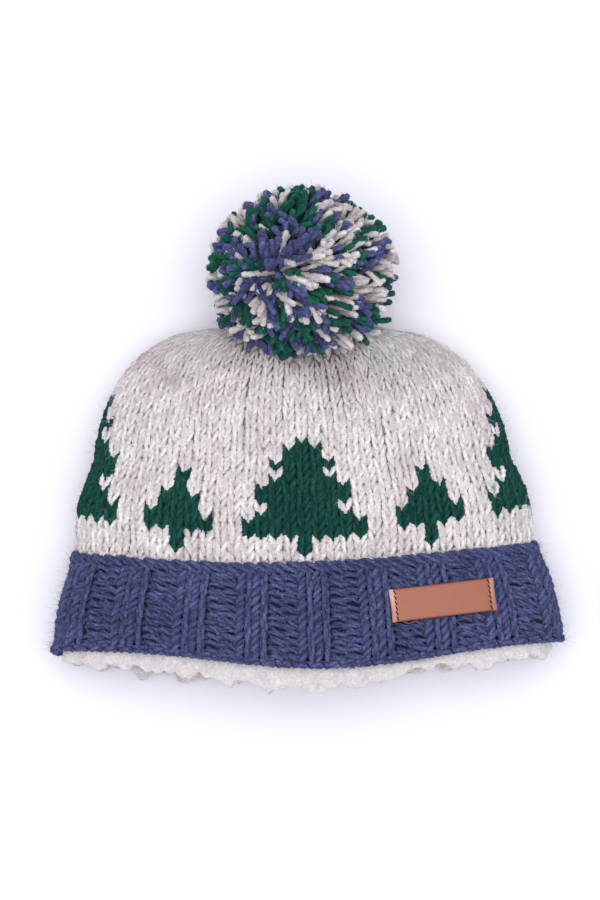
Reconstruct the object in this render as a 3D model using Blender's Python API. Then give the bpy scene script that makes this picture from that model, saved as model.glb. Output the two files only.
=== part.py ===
"""A knitted bobble hat that lies on its back, in metres.

The rim and its opening face -Y, the crown and its pompom lie towards +Y, and the front faces up (+Z).
Z is 0 at the surface that the hat lies on, and X and Y are 0 in the middle of the hat's footprint.
"""

import math
from collections import namedtuple

import bmesh
import bpy
import numpy as np
from mathutils import Vector
from mathutils.bvhtree import BVHTree

MM = 0.001
WALES = 72  # columns of stitches round the hat
CLEARANCE = 0.3 * MM  # between pieces that touch

# Crown: the knitted shell, lying flat
CROWN_WIDTH = 223 * MM
CROWN_LENGTH = 109 * MM  # from the ridge of the band to the gathered tip
CROWN_HEIGHT = 47 * MM  # from the table to the front, just above the band
CROWN_WALL = 4.2 * MM
TIP_HEIGHT = 16 * MM  # of the gathered tip above the table
CROWN_ROWS = 18  # rings of facets
TIP_OPENING = 0.03  # share of each column that the closed fan at the tip takes
FINE_RINGS = 90  # sections that the crown's columns are measured along
RING_CROWDING = 2.4  # how closely they crowd towards the tip

# Roundness of the crown's outline: the higher, the squarer the shoulder
OUTLINE_REACH = 2.3
OUTLINE_ROUND = 4.4
DOME_REACH = 2.6
DOME_ROUND = 2.2
TIP_LIFT = 16  # how late the back of the crown rises to the tip
TIP_PRESS = 1.0 * MM  # how far its start is pressed flat against the table

# Cross-section of the lying hat: the higher, the boxier
FRONT_FULLNESS = 2.5
BACK_FULLNESS = 3.4
FOLD_SHARE = 0.43  # height of the side folds as a share of the section's height
BACK_SINK = 1.6 * MM  # how far the soft back is pressed flat against the table
SECTION_POINTS = 361  # round a section, before it is cut into even columns

# Gathers that run to the tip
PLEATS = 12
PLEAT_DEPTH = 2.6 * MM
PLEAT_CENTRE = 0.86  # share of the way to the tip where they are deepest
PLEAT_SPREAD = 0.11
PLEAT_ROUND = 0.8  # how round the crest between two gathers is
GATHER_FADE = 0.15  # share of the way up over which folds grow out of the lined part
TIP_FADE = 0.04

# Band: ribbed knitting from the rim to the ridge
RIM_WIDTH = 247.5 * MM
RIM_HEIGHT = 52 * MM
RIM_FLARE = 1.9  # how late the band widens from the ridge to the rim
BAND_DEPTH = 48.5 * MM
BAND_WALL = 5.4 * MM
RIDGE_STEP = 2.8 * MM  # how far the ridge stands out from the front of the crown
RIDGE_SPREAD = 1.0 * MM  # and from its side folds
RIBS = 18
RIB_VALLEY = 1.9 * MM
RIB_SHAPE = (0.0, 0.0, 0.0, 0.6, 1.0, 1.0, 1.0, 0.6)  # depth at each half column, share of the valley

# Rings of the band's outside, from the rim up: how deep the ribs are there and how far the wall stands out
BandRow = namedtuple("BandRow", "rise relief lift")
BAND_ROWS = (
    BandRow(0.00, 0.35, -1.5 * MM),
    BandRow(0.05, 0.70, 0.0),
    BandRow(0.12, 1.00, 0.0),
    BandRow(0.50, 1.00, 0.0),
    BandRow(0.86, 0.90, 0.0),
    BandRow(0.94, 0.15, 0.9 * MM),
    BandRow(1.00, 0.05, -0.4 * MM),
)

# How the lying rim bows: how far the middle hangs past the corners, and how narrow the bow is
Bow = namedtuple("Bow", "rim ridge rim_power ridge_power")
FRONT_BOW = Bow(12.0 * MM, 9.3 * MM, 3.0, 1.0)
BACK_BOW = Bow(9.0 * MM, 8.0 * MM, 1.0, 1.0)
RIM_SKEW = 2.4 * MM  # the right corner lies this much higher than the middle
BOW_FADE = 1.5  # how soon the bow is lost up the crown
LEAN = 4.5 * MM  # how far the tip lies to the left of the rim's middle

# Lining: a fleece strip inside the band
LINING_THICKNESS = 2.8 * MM
LINING_DEPTH = 74 * MM  # above the rim
LINING_SHOW = 6.4 * MM  # past the rim, on average
LINING_RAGGED = 2.6 * MM  # how far its edge wanders
LINING_TAPER = 0.5 * MM  # its upper edge stands this much further off the crown
LINED_RISE = (0.0, 0.5, 1.0)  # rings up the band, of its inside and of the lining

# Label: a leather strip on the band
LABEL_LENGTH = 50 * MM
LABEL_WIDTH = 15.5 * MM
LABEL_THICKNESS = 1.6 * MM
LABEL_INSET = 60.3 * MM  # its middle, in from the rim's right corner
LABEL_RISE = 22 * MM  # its middle above the line of the rim's corners
LABEL_TILT = math.radians(6.8)
LABEL_STEPS = 12
LABEL_ROUND = 1.2 * MM
SEAT_ROWS = 12  # rings of the plain band that the label is laid on

# Pompom: a ball of cut yarn that lies on the table
POMPOM_WIDTH = 98 * MM
POMPOM_LENGTH = 82 * MM
POMPOM_HEIGHT = 84 * MM
POMPOM_STANDOFF = 24 * MM  # its middle past the crown's tip
POMPOM_PRESS = 4 * MM  # how far it is pressed flat against the table
LOCK_DEPTH = 11 * MM  # of the grooves between locks
LOCK_WANDER = 3.2 * MM  # how unevenly the locks are cut
LOCK_TIP_SHARE = 0.6  # width of a lock's tip as a share of its root
LOCK_SHOULDER = 2.0 * MM  # how far a lock's rounded shoulder lies below its tip
LOCK_SEED = 11
LOCK_SUBDIVISIONS = 3
SEAT_GAP = 1.8 * MM  # left between a lock's corner and the crown
SEAT_STEP = 0.4 * MM

Finish = namedtuple("Finish", "colour roughness")
OATMEAL_WOOL = Finish((0.72, 0.69, 0.68, 1.0), 0.95)
BLUE_WOOL = Finish((0.10, 0.12, 0.27, 1.0), 0.95)
WHITE_FLEECE = Finish((0.85, 0.84, 0.82, 1.0), 0.98)
TAN_LEATHER = Finish((0.52, 0.22, 0.13, 1.0), 0.5)
MIXED_WOOL = Finish((0.16, 0.26, 0.25, 1.0), 0.95)

# A soft hollow in the crown: where it lies, as a share of a turn from the middle of the front and of the
# way up, how far it spreads in those shares, and its depth as a share of the crown's height
Dent = namedtuple("Dent", "turn rise turn_spread rise_spread depth")
DENTS = (
    Dent(0.040, 0.78, 0.030, 0.14, 0.075),
    Dent(0.095, 0.55, 0.035, 0.16, 0.050),
    Dent(-0.075, 0.70, 0.035, 0.15, 0.045),
    Dent(-0.160, 0.45, 0.030, 0.16, 0.035),
)

# How the crown's sides leave the plain outline: share of the length, and of the half width
SideWave = namedtuple("SideWave", "rise width")
SIDE_WAVES = (
    SideWave(0.00, 1.000),
    SideWave(0.20, 0.996),
    SideWave(0.30, 0.971),
    SideWave(0.40, 0.942),
    SideWave(0.57, 0.950),
    SideWave(0.75, 0.948),
    SideWave(0.93, 0.950),
    SideWave(1.00, 1.000),
)

# Waves of the lining's edge: how many in a turn, where they start, and their share of LINING_RAGGED
EdgeWave = namedtuple("EdgeWave", "count start share")
EDGE_WAVES = (
    EdgeWave(2, 0.25, 0.55),
    EdgeWave(5, 0.10, 0.30),
    EdgeWave(13, 0.55, 0.30),
    EdgeWave(24, 0.20, 0.35),
)


def smooth(share):
    """Eases from 0 to 1 as share goes from 0 to 1."""
    share = np.clip(share, 0.0, 1.0)
    return share * share * (3 - 2 * share)


# The lying form. A section is (half width, top, bottom) at its distance along the hat from the rim


def crown_section(rise, inset):
    """Section of the crown at a share of its length, drawn in on all sides by inset."""
    rise = np.asarray(rise, float)
    waves = np.interp(rise, [w.rise for w in SIDE_WAVES], [w.width for w in SIDE_WAVES])
    outline = (1 - rise**OUTLINE_REACH) ** (1 / OUTLINE_ROUND)
    dome = (1 - rise**DOME_REACH) ** (1 / DOME_ROUND)
    half_width = (CROWN_WIDTH / 2 - inset) * waves * outline
    top = TIP_HEIGHT + (CROWN_HEIGHT - inset - TIP_HEIGHT) * dome
    bottom = inset + np.maximum((TIP_HEIGHT - inset + TIP_PRESS) * rise**TIP_LIFT - TIP_PRESS, 0.0)
    along = BAND_DEPTH + (CROWN_LENGTH - inset) * rise
    return half_width, top, bottom, along


def band_section(rise, inset):
    """Section of the band's outside at a share of its depth, drawn in on all sides by inset."""
    rise = np.asarray(rise, float)
    flare = 1 - rise**RIM_FLARE
    ridge_half = CROWN_WIDTH / 2 + RIDGE_SPREAD
    ridge_top = CROWN_HEIGHT + RIDGE_STEP
    half_width = ridge_half + (RIM_WIDTH / 2 - ridge_half) * flare - inset
    top = ridge_top + (RIM_HEIGHT - ridge_top) * flare - inset
    return half_width, top, inset + 0 * rise, BAND_DEPTH * rise


def band_inside(rise, clear):
    """Section of the band's inside, drawn in by clear. It meets the crown's inside at the ridge."""
    rise = np.asarray(rise, float)
    own = band_section(rise, BAND_WALL + clear)
    ridge = crown_section(0.0, CROWN_WALL + clear)
    share = smooth(rise)
    return tuple(a + (b - a) * share for a, b in zip(own[:3], ridge[:3])) + (own[3],)


def section_ring(half_width, top, bottom, turns):
    """Points (x, z) round a section at shares of its length, from the middle of the front towards +X."""
    fold = bottom + FOLD_SHARE * (top - bottom)
    angle = np.linspace(math.pi / 2, -3 * math.pi / 2, SECTION_POINTS)
    c, s = np.cos(angle), np.sin(angle)
    power = np.where(s >= 0, 2 / FRONT_FULLNESS, 2 / BACK_FULLNESS)
    sink = np.minimum(BACK_SINK, fold - bottom)
    x = half_width * np.sign(c) * np.abs(c) ** power
    up = fold + (top - fold) * np.abs(s) ** power
    down = np.maximum(fold - (fold - bottom + sink) * np.abs(s) ** power, bottom)
    z = np.where(s >= 0, up, down)
    length = np.concatenate([[0], np.cumsum(np.hypot(np.diff(x), np.diff(z)))])
    length /= max(length[-1], 1e-9)
    turns = np.mod(turns, 1.0)
    return np.interp(turns, length, x), np.interp(turns, length, z)


def rim_drop(turns, along):
    """How far the knitting hangs towards -Y from a straight cut: the rim bows, and is a little askew."""
    facing = np.cos(2 * math.pi * turns)
    rise = np.clip(along / BAND_DEPTH, 0, 1)
    drop = -RIM_SKEW * np.sin(2 * math.pi * turns)
    for bow, side in ((FRONT_BOW, facing), (BACK_BOW, -facing)):
        power = bow.rim_power + (bow.ridge_power - bow.rim_power) * rise
        drop = drop + (bow.rim + (bow.ridge - bow.rim) * rise) * np.maximum(side, 0) ** power
    fade = np.clip(1 - (along - BAND_DEPTH) / CROWN_LENGTH, 0, 1) ** BOW_FADE
    return -drop * fade


def rings(sections, turns):
    """Grid of points, one ring for each section, of the lying form."""
    grid = np.zeros((len(sections[0]), len(turns), 3))
    for i, (half_width, top, bottom, along) in enumerate(zip(*sections)):
        x, z = section_ring(half_width, top, bottom, turns)
        lean = LEAN * along / (BAND_DEPTH + CROWN_LENGTH)
        grid[i] = np.stack([x - lean, along + rim_drop(turns, along), z], axis=1)
    return grid


def evenly_up(grid, shares):
    """The grid again, with rings at the given shares of each column's own length."""
    steps = np.linalg.norm(np.diff(grid, axis=0), axis=2)
    length = np.vstack([np.zeros(grid.shape[1]), np.cumsum(steps, axis=0)])
    out = np.zeros((len(shares), grid.shape[1], 3))
    for j in range(grid.shape[1]):
        for k in range(3):
            out[:, j, k] = np.interp(shares * length[-1, j], length[:, j], grid[:, j, k])
    return out


def outward(grid):
    """Unit normals of a grid of closed rings."""
    around = np.roll(grid, -1, axis=1) - np.roll(grid, 1, axis=1)
    up = np.gradient(grid, axis=0)
    normal = np.cross(around, up)
    return normal / np.maximum(np.linalg.norm(normal, axis=2, keepdims=True), 1e-12)


# Building meshes


def material_of(name, finish):
    """A plain material of one finish."""
    material = bpy.data.materials.new(name)
    material.use_nodes = True
    shader = material.node_tree.nodes["Principled BSDF"]
    shader.inputs["Base Color"].default_value = finish.colour
    shader.inputs["Roughness"].default_value = finish.roughness
    shader.inputs["Metallic"].default_value = 0.0
    material.diffuse_color = finish.colour
    return material


def finished(name, mesh_builder, finish):
    """An object of the bmesh, with its normals out and its round faces smooth."""
    bmesh.ops.recalc_face_normals(mesh_builder, faces=mesh_builder.faces)
    mesh = bpy.data.meshes.new(name)
    mesh_builder.to_mesh(mesh)
    mesh_builder.free()
    mesh.shade_smooth()
    mesh.materials.append(material_of(name, finish))
    obj = bpy.data.objects.new(name, mesh)
    bpy.context.scene.collection.objects.link(obj)
    return obj


def add_rings(builder, grid):
    """Adds the rings' vertices and the quads between them, and returns the vertices of each ring."""
    rows = [[builder.verts.new(p) for p in ring] for ring in grid]
    for low, high in zip(rows, rows[1:]):
        bridge(builder, low, high)
    return rows


def bridge(builder, low, high):
    """Faces between two closed rings, of which low has as many columns as high or a multiple of them."""
    count, times = len(high), len(low) // len(high)
    for j in range(count):
        edge = [low[(times * j + k) % len(low)] for k in range(times + 1)]
        builder.faces.new((*edge, high[(j + 1) % count], high[j]))


def close_tip(builder, ring, point):
    """A fan of triangles from a ring to a point."""
    tip = builder.verts.new(point)
    for j, vert in enumerate(ring):
        builder.faces.new((vert, ring[(j + 1) % len(ring)], tip))


def sleeve(name, outside, inside, finish):
    """A closed wall between two grids of rings that start and end together."""
    builder = bmesh.new()
    outer = add_rings(builder, outside)
    inner = add_rings(builder, inside)
    bridge(builder, outer[0], inner[0])
    bridge(builder, outer[-1], inner[-1])
    return finished(name, builder, finish)


# The pieces


def turns_of(count):
    """Shares of a turn of the columns, from the middle of the front."""
    return np.arange(count) / count


def crown_grid(inset, turns, shares):
    """The crown's surface, with rings at the shares of each column's length from the ridge to the tip."""
    rise = 1 - (1 - np.linspace(0, 1, FINE_RINGS)) ** RING_CROWDING
    half_width, top, bottom, along = crown_section(rise, inset)
    along = along + CLEARANCE * (1 - rise)
    return evenly_up(rings((half_width, top, bottom, along), turns), shares)


def gather_depth(turns, shares):
    """How far the gathers draw the crown's outside in, for each ring and column."""
    fold = np.abs(np.sin(math.pi * PLEATS * turns)) ** PLEAT_ROUND
    rise = np.exp(-(((shares - PLEAT_CENTRE) / PLEAT_SPREAD) ** 2))
    depth = PLEAT_DEPTH * np.outer(rise, 1 - fold)
    for dent in DENTS:
        apart = np.mod(turns - dent.turn + 0.5, 1.0) - 0.5
        across = np.exp(-((apart / dent.turn_spread) ** 2))
        up = np.exp(-(((shares - dent.rise) / dent.rise_spread) ** 2))
        depth += dent.depth * CROWN_HEIGHT * np.outer(up, across)
    lined = (LINING_DEPTH - BAND_DEPTH) / CROWN_LENGTH
    free = smooth((shares - lined) / GATHER_FADE) * smooth((1 - shares) / TIP_FADE)
    return depth * free[:, None]


def make_crown():
    """The knitted shell: one wall from the ridge to the gathered tip, open at the ridge."""
    turns = turns_of(WALES)
    shares = np.linspace(0, 1 - TIP_OPENING, CROWN_ROWS)
    outside = crown_grid(0.0, turns, shares)
    outside -= outward(outside) * gather_depth(turns, shares)[:, :, None]
    outside[:, :, 2] = np.maximum(outside[:, :, 2], 0.0)
    inside = crown_grid(CROWN_WALL, turns, shares[::2])
    inside -= outward(inside) * gather_depth(turns, shares[::2])[:, :, None]
    builder = bmesh.new()
    outer = add_rings(builder, outside)
    inner = add_rings(builder, inside)
    bridge(builder, outer[0], inner[0])
    close_tip(builder, outer[-1], outside[-1].mean(axis=0))
    close_tip(builder, inner[-1], inside[-1].mean(axis=0))
    return finished("crown", builder, OATMEAL_WOOL)


def make_band():
    """The ribbed band: a wall from the rim to the ridge, with a valley after each pair of columns."""
    turns = turns_of(2 * WALES)
    rise, relief, lift = (np.array(column) for column in zip(*BAND_ROWS))
    outside = rings(band_section(rise, 0.0), turns)
    depth = RIB_VALLEY * np.outer(relief, np.tile(RIB_SHAPE, RIBS)) - lift[:, None]
    outside -= outward(outside) * depth[:, :, None]
    outside[:, :, 2] = np.maximum(outside[:, :, 2], 0.0)
    inside = rings(band_inside(LINED_RISE, 0.0), turns_of(WALES))
    return sleeve("band", outside, inside, BLUE_WOOL)


def lining_edge(turns):
    """How far the lining's edge shows past the rim."""
    wander = sum(w.share * np.sin(2 * math.pi * (w.count * turns + w.start)) for w in EDGE_WAVES)
    return LINING_SHOW + LINING_RAGGED * wander


def make_lining():
    """The fleece strip: a thin sleeve inside the band, with an uneven edge past the rim."""
    turns = turns_of(WALES)
    up_crown = (LINING_DEPTH - BAND_DEPTH) / CROWN_LENGTH
    skins = []
    for depth in (CLEARANCE, CLEARANCE + LINING_THICKNESS):
        low = rings(band_inside(LINED_RISE, depth), turns)
        high = rings(crown_section(np.array([up_crown]), CROWN_WALL + depth + LINING_TAPER), turns)
        edge = low[:1].copy()
        edge[0, :, 1] -= lining_edge(turns)
        middle = low[:1].copy()
        middle[0, :, 1] -= lining_edge(turns) / 2
        skins.append(np.vstack([edge, middle, low, high]))
    return sleeve("lining", skins[0], skins[1], WHITE_FLEECE)


def band_tree():
    """The band's plain outside, without its ribs, to seat the label on."""
    grid = rings(band_section(np.linspace(0, 1, SEAT_ROWS), 0.0), turns_of(2 * WALES))
    rows, columns = grid.shape[:2]
    faces = [
        (i * columns + j, i * columns + (j + 1) % columns,
         (i + 1) * columns + (j + 1) % columns, (i + 1) * columns + j)
        for i in range(rows - 1)
        for j in range(columns)
    ]
    return BVHTree.FromPolygons([Vector(p) for p in grid.reshape(-1, 3)], faces)


def make_label():
    """The leather strip, bent to the band that it lies on."""
    tree = band_tree()
    middle = Vector((RIM_WIDTH / 2 - LABEL_INSET, LABEL_RISE))
    turn = math.cos(LABEL_TILT), math.sin(LABEL_TILT)
    above = 2 * RIM_HEIGHT
    outline = label_outline()
    layers = []
    for lift in (CLEARANCE, CLEARANCE + LABEL_THICKNESS):
        layer = []
        for p, q in outline:
            x = middle.x + p * turn[0] - q * turn[1]
            y = middle.y + p * turn[1] + q * turn[0]
            hit, normal, _, _ = tree.ray_cast(Vector((x, y, above)), Vector((0, 0, -1)))
            layer.append(hit + (normal if normal.z > 0 else -normal) * lift)
        layers.append(layer)
    builder = bmesh.new()
    under, over = ([builder.verts.new(p) for p in layer] for layer in layers)
    count = len(outline)
    half = count // 2
    for i in range(half - 1):
        a, b = i, i + 1
        c, d = count - 2 - i, count - 1 - i
        builder.faces.new((over[a], over[b], over[c], over[d]))
        builder.faces.new((under[a], under[b], under[c], under[d]))
    bridge(builder, under, over)
    return finished("label", builder, TAN_LEATHER)


def label_outline():
    """Corners of the strip, along its lower edge and back along its upper one, with its corners cut off."""
    half_length, half_width = LABEL_LENGTH / 2, LABEL_WIDTH / 2
    across = np.linspace(-half_length + LABEL_ROUND, half_length - LABEL_ROUND, LABEL_STEPS)
    across = np.concatenate([[-half_length], across, [half_length]])
    rise = np.full(len(across), half_width)
    rise[[0, -1]] -= LABEL_ROUND
    lower = list(zip(across, -rise))
    upper = list(zip(across[::-1], rise[::-1]))
    return lower + upper


def cells_of_ball():
    """Cells that cover a ball, one for each point of a fine icosphere: (corners, cells, centres)."""
    ball = bmesh.new()
    bmesh.ops.create_icosphere(ball, subdivisions=LOCK_SUBDIVISIONS, radius=1.0)
    ball.verts.ensure_lookup_table()
    ball.faces.ensure_lookup_table()
    corners = [f.calc_center_median().normalized() for f in ball.faces]
    cells = []
    for vert in ball.verts:
        side = vert.co.orthogonal().normalized()
        other = vert.co.cross(side)
        around = sorted(
            vert.link_faces,
            key=lambda f: math.atan2(corners[f.index].dot(other), corners[f.index].dot(side)),
        )
        cells.append([f.index for f in around])
    centres = [v.co.normalized() for v in ball.verts]
    ball.free()
    return corners, cells, centres


def make_pompom(crown):
    """The ball of yarn: a head cut into locks, flat where it lies and hollowed round the crown."""
    tree = BVHTree.FromPolygons(
        [v.co for v in crown.data.vertices], [tuple(p.vertices) for p in crown.data.polygons]
    )
    middle = Vector((-LEAN, BAND_DEPTH + CROWN_LENGTH + POMPOM_STANDOFF, POMPOM_HEIGHT / 2 - POMPOM_PRESS))
    radii = Vector((POMPOM_WIDTH, POMPOM_LENGTH, POMPOM_HEIGHT)) / 2
    random = np.random.default_rng(LOCK_SEED)
    corners, cells, centres = cells_of_ball()

    def placed(direction, short):
        """The point at the ball's surface less short in that direction, kept off the table and the crown."""
        reach = Vector((direction.x * radii.x, direction.y * radii.y, direction.z * radii.z))
        length = reach.length - short
        ray = reach.normalized()
        if ray.z < 0:
            length = min(length, middle.z / -ray.z)
        reached = 0.0
        while reached < length and tree.find_nearest(middle + ray * reached)[3] > SEAT_GAP:
            reached += SEAT_STEP
        return middle + ray * min(reached, length)

    builder = bmesh.new()
    roots = [builder.verts.new(placed(c, LOCK_DEPTH)) for c in corners]
    for cell, centre in zip(cells, centres):
        short = LOCK_WANDER * random.random()
        shoulder = [
            builder.verts.new(
                placed((centre.lerp(corners[i], LOCK_TIP_SHARE)).normalized(), short + LOCK_SHOULDER)
            )
            for i in cell
        ]
        tip = builder.verts.new(placed(centre, short))
        count = len(cell)
        for i in range(count):
            j = (i + 1) % count
            builder.faces.new((roots[cell[i]], roots[cell[j]], shoulder[j], shoulder[i]))
            builder.faces.new((shoulder[i], shoulder[j], tip))
    return finished("pompom", builder, MIXED_WOOL)


def centre_footprint(objects):
    """Moves the whole hat so that the middle of its footprint is at X 0 and Y 0."""
    points = np.array([v.co[:] for obj in objects for v in obj.data.vertices])
    low, high = points.min(axis=0), points.max(axis=0)
    shift = Vector((-(low[0] + high[0]) / 2, -(low[1] + high[1]) / 2, 0))
    for obj in objects:
        obj.location = shift


def main():
    for obj in list(bpy.data.objects):
        bpy.data.objects.remove(obj)
    crown = make_crown()
    pieces = [crown, make_band(), make_lining(), make_label(), make_pompom(crown)]
    centre_footprint(pieces)


main()
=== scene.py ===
"""A knitted bobble hat that lies on its back, with a fleece lining, a leather label and a pompom.

Every stitch is laid in yarn. The form repeats the solid model's: the rim faces -Y, the pompom lies towards +Y
and the front faces up. Lengths are in metres. A place on the knitting is given by its turn, the share of the way
round from the middle of the front towards +X, and by its rise, the share of the way up a column of stitches.
"""

import logging
import math
from dataclasses import dataclass, field, replace
from enum import Enum

import bmesh
import bpy
import numpy as np
from mathutils import Matrix, Vector, noise
from mathutils.bvhtree import BVHTree


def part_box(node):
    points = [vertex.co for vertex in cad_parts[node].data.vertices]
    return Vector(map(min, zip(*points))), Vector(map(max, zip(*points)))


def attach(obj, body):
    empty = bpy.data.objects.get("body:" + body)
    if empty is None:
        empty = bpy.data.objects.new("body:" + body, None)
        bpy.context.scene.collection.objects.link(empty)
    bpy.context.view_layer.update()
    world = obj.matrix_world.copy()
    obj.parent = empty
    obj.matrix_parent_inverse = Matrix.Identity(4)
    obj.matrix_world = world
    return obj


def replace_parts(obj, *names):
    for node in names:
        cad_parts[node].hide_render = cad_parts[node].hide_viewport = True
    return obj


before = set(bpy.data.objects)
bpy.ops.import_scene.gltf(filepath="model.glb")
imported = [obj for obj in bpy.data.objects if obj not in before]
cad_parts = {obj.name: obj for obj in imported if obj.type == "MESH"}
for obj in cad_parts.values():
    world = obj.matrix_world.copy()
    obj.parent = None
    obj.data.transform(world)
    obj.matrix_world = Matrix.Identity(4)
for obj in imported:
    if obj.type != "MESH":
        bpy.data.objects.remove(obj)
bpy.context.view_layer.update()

MM = 0.001
BODY = "root"
WALES = 72  # columns of stitches round the hat
SEED = 20
LOG = logging.getLogger("bobble_hat")


# Small tools


def linear(code: str, alpha: float = 1.0) -> tuple[float, float, float, float]:
    """Linear colour of an sRGB hex code."""
    parts = [int(code[i : i + 2], 16) / 255 for i in (1, 3, 5)]
    return (*(p / 12.92 if p <= 0.04045 else ((p + 0.055) / 1.055) ** 2.4 for p in parts), alpha)


def feed(tree: bpy.types.NodeTree, node: bpy.types.Node, values: dict) -> None:
    """Gives inputs, by name or index, their values, and links those whose value is a socket."""
    for key, value in values.items():
        if isinstance(value, bpy.types.NodeSocket):
            tree.links.new(value, node.inputs[key])
        else:
            node.inputs[key].default_value = value


def add_node(tree: bpy.types.NodeTree, kind: str, settings: dict | None = None) -> bpy.types.Node:
    """Adds a node to a tree.

    Args:
        tree: a shader or geometry tree.
        kind: the node's type name.
        settings: values by property name, and values or sockets by the name or index of an input.
    Returns:
        The node.
    """
    node = tree.nodes.new(kind)
    inputs = {}
    for key, value in (settings or {}).items():
        if isinstance(key, str) and key in node.bl_rna.properties:
            setattr(node, key, value)
        else:
            inputs[key] = value
    feed(tree, node, inputs)
    return node


def maths(tree: bpy.types.NodeTree, operation: str, *values) -> bpy.types.NodeSocket:
    """The result of a sum of numbers and sockets."""
    return add_node(tree, "ShaderNodeMath", {"operation": operation, **dict(enumerate(values))}).outputs[0]


def ranged(tree, value, old=(0.0, 1.0), new=(0.0, 1.0), clamp: bool = True) -> bpy.types.NodeSocket:
    """A value mapped from an old range to a new one."""
    ends = zip(("From Min", "From Max", "To Min", "To Max"), (*old, *new))
    return add_node(tree, "ShaderNodeMapRange", {"clamp": clamp, "Value": value, **dict(ends)}).outputs[0]


def mixed(tree, share, start, end) -> bpy.types.NodeSocket:
    """A colour between two, each of them linear or a socket."""
    return add_node(tree, "ShaderNodeMix", {"data_type": "RGBA", 0: share, 6: start, 7: end}).outputs[2]


def mottled(tree, place, scale: float, detail: float, **more: float) -> bpy.types.NodeSocket:
    """Soft noise at a place."""
    settings = {"Vector": place, "Scale": scale, "Detail": detail, **more}
    return add_node(tree, "ShaderNodeTexNoise", settings).outputs["Fac"]


def carried(tree, name: str, output: str = "Fac") -> bpy.types.NodeSocket:
    """What the mesh carries under a name."""
    return add_node(tree, "ShaderNodeAttribute", {"attribute_name": name}).outputs[output]


def raised(tree, height, strength: float, distance: float, **below) -> bpy.types.NodeSocket:
    """The normals of a relief, over those given as Normal."""
    settings = {"Strength": strength, "Distance": distance, "Height": height, **below}
    return add_node(tree, "ShaderNodeBump", settings).outputs[0]


def blank(name: str, values: dict) -> tuple[bpy.types.Material, bpy.types.NodeTree, bpy.types.Node]:
    """A new material, its tree, and its shader with values by input."""
    material = bpy.data.materials.new(name)
    material.use_nodes = True
    tree = material.node_tree
    shader = tree.nodes["Principled BSDF"]
    feed(tree, shader, values)
    return material, tree, shader


def turns_of(count: int) -> np.ndarray:
    """Places spread evenly round the hat."""
    return np.arange(count) / count


def smooth(share: np.ndarray) -> np.ndarray:
    """Eases from 0 to 1 as share goes from 0 to 1."""
    share = np.clip(share, 0.0, 1.0)
    return share * share * (3 - 2 * share)


def unit(vectors: np.ndarray) -> np.ndarray:
    """The vectors at length 1."""
    return vectors / np.maximum(np.linalg.norm(vectors, axis=-1, keepdims=True), 1e-12)


def outward(grid: np.ndarray) -> np.ndarray:
    """Unit normals of a grid of closed rings."""
    around = np.roll(grid, -1, axis=1) - np.roll(grid, 1, axis=1)
    return unit(np.cross(around, np.gradient(grid, axis=0)))


# The lying form


@dataclass(frozen=True)
class Dent:
    """A soft hollow: place and spread are shares of a turn and of the rise, depth one of the height."""

    turn: float
    rise: float
    turn_spread: float
    rise_spread: float
    depth: float


@dataclass(frozen=True)
class Bow:
    """How far a ring's middle hangs past its corners at the rim and the ridge, and how narrow the bow is."""

    rim: float
    ridge: float
    rim_power: float
    ridge_power: float


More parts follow.
